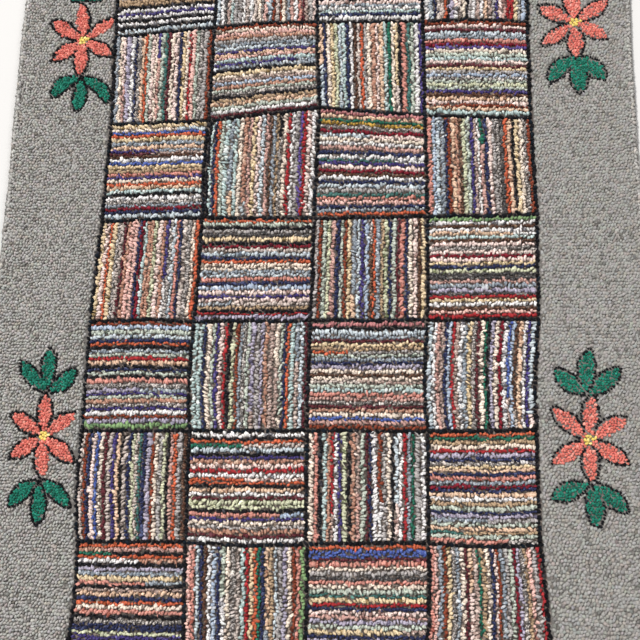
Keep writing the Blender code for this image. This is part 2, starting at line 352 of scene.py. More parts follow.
def colour_of(code):
    """A colour written as six hexadecimal digits, as linear light."""
    parts = np.array([int(code[n : n + 2], 16) for n in (0, 2, 4)]) / 255
    return np.where(parts <= 0.04045, parts / 12.92, ((parts + 0.055) / 1.055) ** 2.4)


def opaque(code):
    return (*colour_of(code), 1)


# ---- The rug's plan and heights ----
def noise_at(x, y, size, layer):
    """Smooth noise of about -1 to 1 at each point, with hills of about that size."""
    points = zip(np.ravel(x) / size, np.ravel(y) / size)
    return np.array([noise.noise((a, b, layer)) for a, b in points]).reshape(np.shape(x))


def waver(x, y, amount_and_size, layer):
    amount, size = amount_and_size
    return amount * noise_at(x, y, size, layer)


def corner_table():
    table = np.zeros((BLOCKS_ALONG + 1, BLOCKS_ACROSS + 1, 2))
    for line, shifts_x, shifts_y in CORNER_SHIFTS:
        table[line] = np.stack([shifts_x, shifts_y], axis=1) * MILLIMETRE
    return table


def bow_table(bows, lines, columns):
    table = np.zeros((lines, columns))
    for place, bow in bows.items():
        table[place] = bow * MILLIMETRE
    return table


CORNERS = corner_table()
ALONG = bow_table(BOWS_ALONG, BLOCKS_ALONG, BLOCKS_ACROSS + 1)
ACROSS = bow_table(BOWS_ACROSS, BLOCKS_ALONG + 1, BLOCKS_ACROSS)


def field_shift(x, y):
    """The shift of points in the field, from the four corners of the block that each lies in."""
    across = np.clip((x + FIELD_HALF_WIDTH) / BLOCK_WIDTH, 0, BLOCKS_ACROSS)
    along = np.clip((FIELD_HALF_LENGTH - y) / BLOCK_LENGTH, 0, BLOCKS_ALONG)
    column = np.minimum(across.astype(int), BLOCKS_ACROSS - 1)
    line = np.minimum(along.astype(int), BLOCKS_ALONG - 1)
    right, down = (across - column)[..., None], (along - line)[..., None]
    near = CORNERS[line, column] * (1 - right) + CORNERS[line, column + 1] * right
    far = CORNERS[line + 1, column] * (1 - right) + CORNERS[line + 1, column + 1] * right
    shift = near * (1 - down) + far * down
    right, down = right[..., 0], down[..., 0]
    bow_x = ALONG[line, column] * (1 - right) + ALONG[line, column + 1] * right
    bow_y = ACROSS[line, column] * (1 - down) + ACROSS[line + 1, column] * down
    shift[..., 0] += bow_x * np.sin(math.pi * down) + waver(x, y, WAVER, 61)
    shift[..., 1] += bow_y * np.sin(math.pi * right) + waver(x, y, WAVER, 67)
    return shift


def edge_draw(distance, side):
    """How far one side of the rug draws in, at a distance along it. Each side has its own waves."""
    wave = np.sin(math.tau * distance / EDGE_WAVE_LENGTH + 2.1 * side)
    wave = wave + 0.5 * np.sin(math.tau * distance / (0.37 * EDGE_WAVE_LENGTH) + side)
    return EDGE_WANDER * (1.5 - wave) / 3


def border_share(x, y):
    """0 in the field, rising to 1 at the rug's edge, along X and along Y."""
    share_x = (np.abs(x) - FIELD_HALF_WIDTH) / (HALF_WIDTH - FIELD_HALF_WIDTH)
    share_y = (np.abs(y) - FIELD_HALF_LENGTH) / (HALF_LENGTH - FIELD_HALF_LENGTH)
    return np.maximum(share_x, 0), np.maximum(share_y, 0)


def rounded(x, y):
    """Draws the rug's square corners in to round ones."""
    part_x = np.clip((np.abs(x) - HALF_WIDTH) / CORNER_RADIUS + 1, 0, 1)
    part_y = np.clip((np.abs(y) - HALF_LENGTH) / CORNER_RADIUS + 1, 0, 1)
    in_x = part_x * (1 - np.sqrt(1 - part_y**2 / 2)) * CORNER_RADIUS
    in_y = part_y * (1 - np.sqrt(1 - part_x**2 / 2)) * CORNER_RADIUS
    return x - np.sign(x) * in_x, y - np.sign(y) * in_y


def placed(x, y):
    """Where points of the even, square-cornered plan lie on the rug as it was made."""
    x, y = np.asarray(x, float), np.asarray(y, float)
    share_x, share_y = border_share(x, y)
    from_field = field_shift(x, y) * (1 - np.maximum(share_x, share_y))[..., None]
    draw_x = np.where(x > 0, edge_draw(y, 1), edge_draw(y, 2))
    draw_y = np.where(y > 0, edge_draw(x, 3), edge_draw(x, 4))
    round_x, round_y = rounded(x, y)
    return (
        round_x + from_field[..., 0] - np.sign(x) * draw_x * share_x,
        round_y + from_field[..., 1] - np.sign(y) * draw_y * share_y,
    )


def from_side_to_side(x, ends):
    return np.interp(x, (-HALF_WIDTH, HALF_WIDTH), ends)


def edge_distance(x, y):
    return np.maximum(np.minimum(HALF_WIDTH - np.abs(x), HALF_LENGTH - np.abs(y)), 0)


def cloth_top(x, y):
    down = np.clip((edge_distance(x, y) - HEM_WIDTH) / HEM_RAMP, 0, 1)
    return CLOTH_THICKNESS * (2 - down)


def block_relief(x, y):
    across = (x + FIELD_HALF_WIDTH) % BLOCK_WIDTH
    along = (y + FIELD_HALF_LENGTH) % BLOCK_LENGTH
    to_line = np.minimum(
        np.minimum(across, BLOCK_WIDTH - across), np.minimum(along, BLOCK_LENGTH - along)
    )
    crown = np.sin(math.pi * across / BLOCK_WIDTH) * np.sin(math.pi * along / BLOCK_LENGTH)
    groove = -OUTLINE_DEPTH * (1 - to_line / OUTLINE_WIDTH)
    relief = np.where(to_line < OUTLINE_WIDTH, groove, BLOCK_CROWN * crown)
    return np.where(np.maximum(*border_share(x, y)) > 0, 0, relief)


def pile_top(x, y):
    """The height of the pile's top at points of the even plan."""
    in_from_edge = np.minimum(edge_distance(x, y) / PILE_ROUNDING, 1)
    share = PILE_EDGE_HEIGHT + (1 - PILE_EDGE_HEIGHT) * np.sqrt(1 - (1 - in_from_edge) ** 2)
    lump = waver(x, y, (LUMP_HEIGHT, LUMP_SIZE), 0)
    return cloth_top(x, y) + FIT_GAP + PILE_HEIGHT * share + block_relief(x, y) + lump


# ---- Making meshes ----
LOOP_SIDES = 5
CROWN_DROP = 0.1  # how far a loop's crown is sunk, so that it is flatter than it is wide
CELL_REACH = 0.47  # how far it reaches from the middle of its cell on the map for baking


def select_none():
    if bpy.context.mode != "OBJECT":
        bpy.ops.object.mode_set(mode="OBJECT")
    bpy.ops.object.select_all(action="DESELECT")


def modelled_loop(crown):
    """One loop, modelled once: a crown on sloping sides, open below, where it springs from the roots.

    It is one long along X, one wide along Y and one high.
    """
    select_none()
    bpy.ops.mesh.primitive_cylinder_add(
        vertices=LOOP_SIDES, radius=1, depth=1, end_fill_type="NGON", location=(0, 0, 0.5)
    )
    model = bpy.context.object
    bpy.ops.object.transform_apply(location=True)
    bpy.ops.object.mode_set(mode="EDIT")
    bpy.ops.mesh.select_all(action="DESELECT")
    shape = bmesh.from_edit_mesh(model.data)
    bmesh.ops.delete(shape, geom=[face for face in shape.faces if face.normal.z < -0.5], context="FACES")
    for point in shape.verts:
        point.select = point.co.z > 0.5
    shape.select_flush_mode()
    bmesh.update_edit_mesh(model.data)
    bpy.ops.transform.resize(value=(*crown, 1))
    bpy.ops.transform.translate(value=(0, 0, -CROWN_DROP))
    bpy.ops.object.mode_set(mode="OBJECT")
    return taken_apart(model, (0.5, 0.5, 1 / (1 - CROWN_DROP)))


def taken_apart(model, scale):
    """The points, triangles and unwrapped places of a modelled loop, which is then removed."""
    select_none()
    model.select_set(True)
    bpy.context.view_layer.objects.active = model
    bpy.ops.object.mode_set(mode="EDIT")
    bpy.ops.mesh.select_all(action="SELECT")
    bpy.ops.mesh.quads_convert_to_tris()
    bpy.ops.object.mode_set(mode="OBJECT")
    points = np.array([point.co for point in model.data.vertices])
    faces = np.array([face.vertices for face in model.data.polygons])
    flat = points[:, :2] * (1.2 - 0.2 * points[:, 2:])
    flat = flat / np.abs(flat).max()
    bpy.data.objects.remove(model, do_unlink=True)
    return points * scale, faces, flat


STRIP_LOOP = modelled_loop((0.78, 0.64))
WOOL_LOOP = modelled_loop((0.70, 0.70))
BORDER_LOOP = modelled_loop((0.62, 0.62))
MEASURES = ("x", "y", "z", "heading", "length", "width", "height", "lean", "skew", "share")
LOOP_RECORD = np.dtype([(name, float) for name in MEASURES] + [("colour", float, 3), ("fleck", float, 3)])


def new_loops(count, **measures):
    loops = np.zeros(count, LOOP_RECORD)
    for part, value in measures.items():
        loops[part] = value
    return loops


def mesh_object(name, points, faces, material):
    """An object from arrays of points and of triangles."""
    mesh = bpy.data.meshes.new(name)
    mesh.vertices.add(len(points))
    mesh.vertices.foreach_set("co", np.ravel(points).astype(np.float32))
    mesh.loops.add(faces.size)
    mesh.loops.foreach_set("vertex_index", np.ravel(faces).astype(np.int32))
    mesh.polygons.add(len(faces))
    mesh.polygons.foreach_set("loop_start", np.arange(0, faces.size, 3, dtype=np.int32))
    mesh.update(calc_edges=True)
    mesh.validate()
    mesh.materials.append(material)
    mesh.shade_smooth()
    piece = bpy.data.objects.new(name, mesh)
    bpy.context.scene.collection.objects.link(piece)
    return piece


def point_colours(mesh, name, colours):
    """A colour for each point, red, green, blue and a fourth value."""
    layer = mesh.color_attributes.new(name, "FLOAT_COLOR", "POINT")
    layer.data.foreach_set("color", np.ravel(colours).astype(np.float32))


def hooked(name, loops, material, seed, model, mottling=MOTTLING):
    """All the given loops as one joined mesh, each a little different."""
    draw = np.random.default_rng(seed)
    points, triangles, flat = model
    count, size = len(loops), len(points)
    of = {part: loops[part][:, None] for part in MEASURES}
    shape = points[None] * (1 + draw.normal(0, SWELL, (count, size, 1)))
    shape = shape + draw.normal(0, DENT, (count, size, 3)) * (1, 1, DENT_DOWN)
    local = shape * np.stack([loops["length"], loops["width"], loops["height"]], 1)[:, None]
    slant = draw.normal(0, SLANT, (count, 2))[:, None]
    local[..., :2] += slant * local[..., 2:]
    local[..., 0] += of["skew"] * local[..., 1]
    over = local[..., 1] * np.cos(of["lean"]) - local[..., 2] * np.sin(of["lean"])
    rise = local[..., 1] * np.sin(of["lean"]) + local[..., 2] * np.cos(of["lean"])
    cosine, sine = np.cos(of["heading"]), np.sin(of["heading"])
    world = np.empty((count, size, 3))
    world[..., 0] = of["x"] + cosine * local[..., 0] - sine * over
    world[..., 1] = of["y"] + sine * local[..., 0] + cosine * over
    world[..., 2] = np.maximum(of["z"] + rise, FIT_GAP)
    faces = triangles[None] + (np.arange(count) * size)[:, None, None]
    piece = mesh_object(name, world.reshape(-1, 3), faces.reshape(-1, 3), material)
    # painted shade: how far up its loop each point lies goes to the material as the strip colours' fourth
    # value, which darkens the loops' feet like shade in the gaps; lower loops get less of it
    painted_shade_strength = np.minimum(loops["height"] / LOOP_HEIGHT, 1)[:, None, None]
    depth = 1 - (1 - points[None, :, 2:]) * painted_shade_strength
    share = np.repeat(of["share"][:, None], size, axis=1)
    mottle = np.exp(draw.normal(0, mottling, (count, size, 1)))
    for layer, field, fourth in (("strip", "colour", depth), ("fleck", "fleck", share)):
        colours = np.repeat(loops[field][:, None], size, axis=1) * mottle
        point_colours(piece.data, layer, np.concatenate([colours, fourth], axis=2))
    lay_out(piece.data, count, faces, flat)
    return piece


def lay_out(mesh, count, faces, flat):
    """A map for baking, with a cell of its own for each loop."""
    across = math.ceil(math.sqrt(count))
    cells = np.stack([np.arange(count) % across, np.arange(count) // across], 1)
    places = (cells[:, None] + 0.5 + CELL_REACH * flat[None]) / across
    layer = mesh.uv_layers.new(name="OFBake")
    layer.data.foreach_set("uv", places.reshape(-1, 2)[faces.ravel()].ravel().astype(np.float32))


# ---- Colours of the loops ----
def strip_table(strips):
    return {
        name: (colour_of(colour), colour_of(fleck), share)
        for name, colour, _, fleck, share in strips
    }


STRIP_COLOURS = strip_table(STRIPS)


def paint(loops, names, draw, table, shades=STRIP_SHADES):
    """Gives each loop its strip's colours: from loop to loop lighter or darker, or with the colours
    changed over, as where printed cloth folds.
    """
    spread, tint = shades
    shade = np.exp(draw.normal(0, spread, len(loops)))[:, None]
    tints = 1 + draw.normal(0, tint, (len(loops), 3))
    base = np.array([table[name][0] for name in names])
    fleck = np.array([table[name][1] for name in names])
    loops["share"] = [table[name][2] for name in names]
    over = draw.random(len(loops)) < FOLDED_OVER * loops["share"]
    loops["colour"] = np.where(over[:, None], fleck, base) * shade * tints
    loops["fleck"] = np.where(over[:, None], base, fleck) * shade


def drawn_names(draw, count):
    weights = np.array([strip[2] for strip in STRIPS], float)
    return [STRIPS[n][0] for n in draw.choice(len(STRIPS), count, p=weights / weights.sum())]


def lightness(name):
    colour, fleck, share = STRIP_COLOURS[name]
    return math.sqrt(np.mean(colour * (1 - share) + fleck * share))


def next_name(before, after, draw):
    """A strip for the next row: of two drawn at random, the one that differs most in lightness from
    the rows beside it.
    """
    beside = [lightness(name) for name in (before, after) if name]

    def difference(name):
        return sum(abs(lightness(name) - level) for level in beside)

    return max(drawn_names(draw, CHOICES), key=difference)


def block_rows(line, column, draw):
    """The names of the strips of a block's rows, as [(first, second)]: a row may change part-way."""
    chart = ROW_CHART.get((line, column), ". " * ROWS_IN_BLOCK)
    names = [None if name == "." else name for name in chart.split()]
    for n in range(ROWS_IN_BLOCK):
        before = names[n - 1] if n else "black"
        after = names[n + 1] if n + 1 < ROWS_IN_BLOCK else "black"
        if names[n] is None:
            names[n] = before if n and draw.random() < REPEAT_CHANCE else next_name(before, after, draw)
    changes = draw.random(ROWS_IN_BLOCK) < CHANGE_CHANCE
    return [(name, drawn_names(draw, 1)[0] if change else name) for name, change in zip(names, changes)]


# ---- The loops of each part ----
def finish_loops(loops, plan_x, plan_y, depth=ROOT_DEPTH):
    """Sets loops at points of the even plan onto the rug, that far below the tops of its pile."""
    loops["x"], loops["y"] = placed(plan_x, plan_y)
    loops["z"] = pile_top(plan_x, plan_y) - depth
    return loops


def steps_along(length, pitch, draw):
    """Places of loops along a row of that length, unevenly spaced."""
    count = max(round(length / pitch), 1)
    steps = np.clip(draw.normal(1, STEP_SPREAD, count), *STEP_LIMITS)
    ends = np.cumsum(steps) / steps.sum() * length
    return ends - steps / steps.sum() * length / 2


def vary(loops, spreads, draw):
    """Turns and leans each loop by its own small angles, and makes it larger or smaller by a share."""
    for part, spread in spreads.items():
        change = draw.normal(0, spread, len(loops))
        if part in ("heading", "skew", "lean"):
            loops[part] += change
        else:
            loops[part] *= np.exp(change)


def row_widths(rows, span, draw):
    """How wide each of a block's rows is: uneven, but not over many rows together."""
    widths = np.clip(draw.normal(1, WIDTH_SPREAD, ROWS_IN_BLOCK), *WIDTH_LIMITS)
    widths *= [THIN_WIDTH if first in THIN_STRIPS else THICK_WIDTH for first, _ in rows]
    widths = widths.reshape(-1, EVENED_ROWS)
    return (widths / widths.sum(1, keepdims=True)).ravel() * span * EVENED_ROWS / ROWS_IN_BLOCK


def block_loops(line, column):
    """The loops of one block: rows across the rug or along it, by turns, as in a basket weave."""
    draw = np.random.default_rng(ROW_SEEDS["block"] + 10 * line + column)
    along_x = (line + column) % 2 == 1
    run, span = (BLOCK_WIDTH, BLOCK_LENGTH) if along_x else (BLOCK_LENGTH, BLOCK_WIDTH)
    run, span = run - OUTLINE_ROW, span - OUTLINE_ROW
    rows = block_rows(line, column, draw)
    widths = row_widths(rows, span, draw)
    middles = np.cumsum(widths) - widths / 2 - span / 2
    gathered = []
    for (first, second), width, middle in zip(rows, widths, middles):
        s = steps_along(run, LOOP_PITCH, draw) - run / 2
        level = np.full(len(s), middle)
        sway = waver(s, level, ROW_SWAY, 7 * line + column) + waver(s, level, ROW_RIPPLE, 31 + line)
        ends = np.sin(math.pi * (middle / span + 0.5))
        t = middle + sway * ends + draw.normal(0, ROW_JITTER, len(s))
        x = -FIELD_HALF_WIDTH + BLOCK_WIDTH * (column + 0.5) + (s if along_x else t)
        y = FIELD_HALF_LENGTH - BLOCK_LENGTH * (line + 0.5) - (t if along_x else s)
        loops = new_loops(
            len(s),
            heading=(0 if along_x else math.pi / 2) + draw.normal(0, TURNED, len(s)),
            skew=draw.normal(0, ROW_SKEW),
            length=run / len(s) * OVERLAP,
            width=width * ROW_OVERLAP,
            height=LOOP_HEIGHT,
        )
        vary(loops, BLOCK_SPREAD, draw)
        change = draw.uniform(*CHANGE_PLACE) * len(s)
        names = [first if n < change else second for n in range(len(s))]
        paint(loops, names, draw, STRIP_COLOURS)
        gathered.append(finish_loops(loops, x, y))
    return np.concatenate(gathered)


def reach_of(route):
    """How far along a route each of its points lies."""
    return np.concatenate([[0], np.cumsum(np.hypot(*np.diff(route, axis=0).T))])


def spots_on(route, reach, s):
    """The points that lie so far along a route."""
    return np.stack([np.interp(s, reach, route[:, axis]) for axis in (0, 1)], 1)


def heading_of(ahead):
    return np.arctan2(ahead[:, 1], ahead[:, 0])


def row_of_loops(route, pitch, width, draw, names, table, height=LOOP_HEIGHT, lean=0.0):
    """One row of loops along a route in the even plan, given as an array of points close together."""
    reach = reach_of(route)
    s = steps_along(reach[-1], pitch, draw)
    x, y = spots_on(route, reach, s).T
    ahead = spots_on(route, reach, s + TO_EACH_SIDE) - spots_on(route, reach, s - TO_EACH_SIDE)
    length = reach[-1] / len(s) * OVERLAP
    loops = new_loops(
        len(s), heading=heading_of(ahead), length=length, width=width, height=height, lean=lean
    )
    vary(loops, ROW_SPREAD, draw)
    paint(loops, draw.choice(names, len(s)), draw, table)
    side = draw.normal(0, OFF_ROW, len(s))
    x = x - np.sin(loops["heading"]) * side
    y = y + np.cos(loops["heading"]) * side
    return finish_loops(loops, x, y)


OUTLINE_TABLE = strip_table(
    (
        ("black", "101014", 0, "28282E", 0.12),
        ("soot", "1C1B1F", 0, "3A383C", 0.15),
        ("ink", "121A22", 0, "28323C", 0.12),
    )
)


def outline_rows():
    """The dark rows between the blocks and round the field."""
    draw = np.random.default_rng(ROW_SEEDS["outline"])
    gathered = []
    end = FIELD_HALF_WIDTH + OUTLINE_ROW / 2
    for line in range(BLOCKS_ALONG + 1):
        y = FIELD_HALF_LENGTH - BLOCK_LENGTH * line
        x = np.linspace(-end, end, ACROSS_POINTS)
        gathered.append(dark_row(np.stack([x, y + waver(x, x, OUTLINE_WAVER, line)], 1), draw))
    start = OUTLINE_START * OUTLINE_ROW
    for column in range(BLOCKS_ACROSS + 1):
        x = -FIELD_HALF_WIDTH + BLOCK_WIDTH * column
        for line in range(BLOCKS_ALONG):
            top = FIELD_HALF_LENGTH - BLOCK_LENGTH * line - start
            y = np.linspace(top, top - BLOCK_LENGTH + 2 * start, ALONG_POINTS)
            gathered.append(dark_row(np.stack([x + waver(y, y, OUTLINE_WAVER, 20 + column), y], 1), draw))
    return np.concatenate(gathered)


def dark_row(route, draw):
    names = ["black", "black", "black", "soot", "ink"]
    return row_of_loops(route, OUTLINE_PITCH, OUTLINE_ROW * ROW_OVERLAP, draw, names, OUTLINE_TABLE)


# ---- The flower sprigs ----
def lens(start, tip, width, bend, plump):
    """A petal or leaf: points down its middle and its half width at each, from its narrow root to its tip."""
    start, tip = np.array(start, float), np.array(tip, float)
    share = np.linspace(0, 1, LENS_POINTS)
    side = np.array([start[1] - tip[1], tip[0] - start[0]])
    middle = start + (tip - start) * share[:, None] + side * (bend * np.sin(math.pi * share))[:, None]
    return middle, width / 2 * np.sin(math.pi * (0.07 + 0.93 * share) ** 1.2) ** plump


def on_plan(spots):
    """The points of the even plan that come to lie at the given spots."""
    spots = np.array(spots, float) * MILLIMETRE
    return 2 * spots - np.stack(placed(*spots.T), -1)


def sprig_shapes(sprig):
    """The petals with their open sides, the leaves and the centre of a sprig, in metres on the even plan."""
    centre, (leaf_root, leaf_width, leaf_bend, leaf_plump), petals, lower, upper = sprig
    centre = on_plan(centre)
    petal_shapes, open_sides = [], []
    for angle, length, width, open_side in petals:
        ray = np.array([math.cos(math.radians(angle)), math.sin(math.radians(angle))])
        tip = centre + ray * length * MILLIMETRE
        petal_shapes.append(lens(centre + ray * PETAL_ROOT, tip, width * MILLIMETRE, 0.0, PETAL_PLUMP))
        open_sides.append(open_side)
    outer_root, middle_root = LEAF_ROOTS
    leaf_shapes = []
    for tips, way in ((lower, -1), (upper, 1)):
        root = centre + np.array([0, way * leaf_root * MILLIMETRE])
        for n, tip in enumerate(tips):
            outer = n != 1
            bend = -way * math.copysign(leaf_bend, tip[0]) if outer else MIDDLE_BEND
            start = root + (np.sign(tip[0]) * outer_root, 0) if outer else root + (0, way * middle_root)
            end = root + np.array(tip) * MILLIMETRE
            leaf_shapes.append(lens(start, end, leaf_width * MILLIMETRE, bend, leaf_plump))
    return petal_shapes, open_sides, leaf_shapes, centre


def depth_in(shapes, points):
    """How far each point lies outside the nearest of the shapes, and less than 0 inside one."""
    best = np.full(len(points), 1.0)
    for middle, half in shapes:
        away = np.hypot(points[:, None, 0] - middle[None, :, 0], points[:, None, 1] - middle[None, :, 1])
        best = np.minimum(best, (away - half[None]).min(1))
    return best


def outline_route(shape, offset, open_side):
    """The way round a petal or leaf at that distance outside it, but not along a side left open."""
    middle, half = shape
    ahead = np.gradient(middle, axis=0)
    ahead /= np.hypot(*ahead.T)[:, None]
    side = np.stack([-ahead[:, 1], ahead[:, 0]], 1) * (half + offset)[:, None]
    tip, root = middle[-1:] + ahead[-1] * offset, middle[:1] - ahead[0] * offset
    left, right = middle + side, (middle - side)[::-1]
    if open_side > 0:
        return np.concatenate([tip, right])
    if open_side < 0:
        return np.concatenate([left, tip])
    return np.concatenate([left, tip, right, root, left[:1]])


MOTIF_TABLE = strip_table(
    (
        ("coral", "CE7266", 0, "E49A8C", 0.24),
        ("salmon", "C6645A", 0, "DC887A", 0.24),
        ("leaf", "1F6E5C", 0, "2E8A74", 0.24),
        ("deep leaf", "195C4C", 0, "24705E", 0.24),
        ("yellow", "DCC468", 0, "F0DC94", 0.24),
        ("black", "111115", 0, "28282E", 0.12),
        ("grey", "AAA8A4", 0, "7F7D79", 0.16),
        ("pale grey", "B0AEAA", 0, "84827E", 0.16),
        ("warm grey", "ABA59F", 0, "7E7973", 0.16),
    )
)
GREYS = ["grey", "grey", "grey", "pale grey", "warm grey"]


def tree_of(points):
    """A tree that finds the points near a place."""
    tree = kdtree.KDTree(len(points))
    for n, (x, y) in enumerate(points):
        tree.insert((x, y, 0), n)
    tree.balance()
    return tree


def settle(points, apart, still):
    """Moves points until they lie about evenly, each by its own half of the space between two, while
    those marked still stay.
    """
    points = points.copy()
    for _ in range(SETTLE_ROUNDS):
        tree = tree_of(points)
        moved = points.copy()
        for n in np.flatnonzero(~still):
            push = np.zeros(2)
            for _, other, away in tree.find_n((*points[n], 0), NEIGHBOURS):
                least = apart[n] + apart[other]
                if other != n and away < least:
                    push += (points[n] - points[other]) / max(away, 1e-5) * (least - away)
            moved[n] = points[n] + np.clip(push * SETTLE_SHARE, -SETTLE_STEP, SETTLE_STEP)
        points = moved
    return points


def scattered(low, high, pitch, row, draw, loose):
    """Points in staggered rows over a rectangle, knocked off their places."""
    rows = np.arange(low[1], high[1], row)
    columns = np.arange(low[0], high[0], pitch)
    x, y = np.meshgrid(columns, rows)
    x = x + (np.arange(len(rows)) % 2 * pitch / 2)[:, None]
    points = np.stack([x.ravel(), y.ravel()], 1)
    return points + draw.normal(0, loose, points.shape) * (pitch, row)


def sprig_loops(sprig, draw):
    """The loops of one flower sprig: the dark rows round its petals and leaves, and what fills them."""
    petals, open_sides, leaves, centre = sprig_shapes(sprig)
    dark = []
    for n, shape in enumerate(petals + leaves):
        route = outline_route(shape, DARK_OFFSET, open_sides[n] if n < len(petals) else 0)
        others = [other for other in petals + leaves if other is not shape]
        reach = reach_of(route)
        s = steps_along(reach[-1], DARK_PITCH, draw)
        spots = spots_on(route, reach, s)
        ahead = spots_on(route, reach, s + TO_EACH_SIDE) - spots
        free = depth_in(others, spots) > OFF_SHAPE
        free &= np.hypot(*(spots - centre).T) > EYE_SIZE + OFF_SHAPE
        spots += draw.normal(0, DARK_JITTER, spots.shape)
        dark.append(np.column_stack([spots, heading_of(ahead)])[free])
    seeds = scattered(centre - SPRIG_REACH, centre + SPRIG_REACH, MOTIF_PITCH, MOTIF_ROW, draw, MOTIF_LOOSE)
    eye = centre + np.array(EYE_LOOPS) * MILLIMETRE
    inside = (depth_in(petals + leaves, seeds) < 0) | (np.hypot(*(seeds - centre).T) < EYE_RING)
    fill = seeds[inside & (distance_to(seeds, eye) > OFF_EYE)]
    return petals, leaves, eye, thinned(np.concatenate(dark), OFF_TWIN), fill


def distance_to(points, others):
    tree = tree_of(others)
    return np.array([tree.find((x, y, 0))[2] for x, y in points])


def thinned(rows, closest):
    """Leaves out each row whose point lies closer than that to one kept before it."""
    kept = []
    for row in rows:
        if all(math.hypot(row[0] - other[0], row[1] - other[1]) > closest for other in kept):
            kept.append(row)
    return np.array(kept)


def border_loops():
    """The border's loops, which wander in all directions round the sprigs, and the sprigs' own."""
    draw = np.random.default_rng(ROW_SEEDS["border"])
    petals, leaves, eyes, dark, fills = (
        list(parts) for parts in zip(*(sprig_loops(sprig, draw) for sprig in SPRIGS))
    )
    petals, leaves = sum(petals, []), sum(leaves, [])
    stray = on_plan(STRAY_END)
    dark.append(np.column_stack([stray, heading_of(np.gradient(stray, axis=0))]))
    dark = np.concatenate(dark)
    dark_spots, eyes, fills = dark[:, :2], np.concatenate(eyes), np.concatenate(fills)
    fills = fills[distance_to(fills, dark_spots) > OFF_DARK]
    corner = np.array([HALF_WIDTH, HALF_LENGTH])
    ground = scattered(-corner, corner, BORDER_PITCH, BORDER_ROW, draw, BORDER_LOOSE)
    ground = ground[(out_of_field(ground).max(1) > OFF_FIELD) & (edge_distance(*ground.T) > OFF_EDGE)]
    ground = ground[depth_in(petals + leaves, ground) > OFF_MOTIF]
    ground = ground[distance_to(ground, eyes) > EYE_RING]
    ground = ground[distance_to(ground, dark_spots) > OFF_DARK]
    held = np.concatenate([edge_guard(), eyes])
    counts = [len(dark), len(held), len(fills), len(ground)]
    apart = np.repeat([HELD_APART[kind] for kind in ("dark", "ground", "fill", "ground")], counts)
    still = np.arange(sum(counts)) < counts[0] + counts[1]
    points = np.concatenate([dark_spots, held, fills, ground])
    fills, ground = np.split(settle(points, apart, still), np.cumsum(counts)[1:3])[1:]
    in_petal = depth_in(petals, fills) <= depth_in(leaves, fills)
    parts = {
        "sprig_outlines": wool_loops(dark_spots, dark[:, 2], ["black"], DARK_SIZE, draw),
        "flower_eyes": wool_loops(eyes, in_all_directions(eyes, draw), ["yellow"], EYE_LOOP_SIZE, draw),
    }
    for part, chosen, names in (
        ("petals", in_petal, ["coral", "coral", "salmon"]),
        ("leaves", ~in_petal, ["leaf", "leaf", "deep leaf"]),
    ):
        inside = fills[chosen]
        parts[part] = wool_loops(inside, in_all_directions(inside, draw), names, MOTIF_SIZE, draw)
    relief, size, tone = (
        from_side_to_side(ground[:, 0], ends) for ends in (BORDER_RELIEF, BORDER_SIZE, BORDER_PAINTED_SHADE)
    )
    grey = wool_loops(ground, border_heading(ground), GREYS, size, draw, relief, BORDER_STRETCH)
    # painted shade: the border's grey is darkened more towards its +X side
    grey["colour"] *= tone[:, None]
    grey["fleck"] *= tone[:, None]
    return parts, grey


def in_all_directions(points, draw):
    return draw.uniform(0, math.tau, len(points))


def out_of_field(points):
    """How far points lie outside the field, along X and along Y."""
    return np.abs(points) - (FIELD_HALF_WIDTH, FIELD_HALF_LENGTH)


def border_heading(points):
    """Slantwise and wandering, but along the field's dark row beside it."""
    slant = BORDER_SLANT + waver(points[:, 0], points[:, 1], BORDER_TURN, 5)
    outside = out_of_field(points)
    along_edge = np.where(outside[:, 0] > outside[:, 1], math.pi / 2, 0)
    return np.where(outside.max(1) < BESIDE_FIELD, along_edge, slant)


def edge_guard():
    """Still points round the border, which keep its loops off the dark row and off the outer rows."""
    guards = []
    for half_x, half_y in (
        (FIELD_HALF_WIDTH, FIELD_HALF_LENGTH),
        (HALF_WIDTH - EDGE_INSETS[0], HALF_LENGTH - EDGE_INSETS[0]),
    ):
        x = np.arange(-half_x, half_x, GUARD_STEP)
        y = np.arange(-half_y, half_y, GUARD_STEP)
        for side in (-1, 1):
            guards.append(np.stack([x, np.full(len(x), side * half_y)], 1))
            guards.append(np.stack([np.full(len(y), side * half_x), y], 1))
    return np.concatenate(guards)


def wool_loops(points, heading, names, size, draw, height=LOOP_HEIGHT, stretch=WOOL_STRETCH):
    loops = new_loops(
        len(points), heading=heading, length=size * stretch, width=size / stretch, height=height
    )
    vary(loops, WOOL_SPREAD, draw)
    paint(loops, draw.choice(names, len(points)), draw, MOTIF_TABLE, WOOL_SHADES)
    return finish_loops(loops, *points.T, height - LOOP_HEIGHT + ROOT_DEPTH)


def edge_rows():
    """Rows of border loops along the rug's edge, which lean out over the folded hem."""
    draw = np.random.default_rng(ROW_SEEDS["edge"])
    return np.concatenate(
        [
            row_of_loops(rim_route(inset), EDGE_PITCH, EDGE_ROW, draw, GREYS, MOTIF_TABLE, height, -lean)
            for inset, lean, height in zip(EDGE_INSETS, EDGE_LEANS, EDGE_HEIGHTS)
        ]
    )


def rim_route(inset):
    """Once round the rug, anticlockwise, at that distance in from its edge, on the even plan."""
    half_x, half_y = HALF_WIDTH - inset, HALF_LENGTH - inset
    x, y = (
        np.linspace(-half, half, count) for half, count in zip((half_x, half_y), EDGE_POINTS)
    )
    return np.concatenate(
        [
            np.stack([x, np.full(len(x), -half_y)], 1),
            np.stack([np.full(len(y), half_x), y], 1)[1:],
            np.stack([x[::-1], np.full(len(x), half_y)], 1)[1:],
            np.stack([np.full(len(y), -half_x), y[::-1]], 1)[1:],
        ]
    )


# ---- The flat pieces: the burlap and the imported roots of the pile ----
def plan_lines(half_size, block, count, edge_lines, block_steps):
    start = -block * count / 2
    low_side = [distance - half_size for distance in edge_lines]
    inside = [start + block * n / block_steps for n in range(count * block_steps + 1)]
    return np.array(low_side + inside + [-line for line in reversed(low_side)])


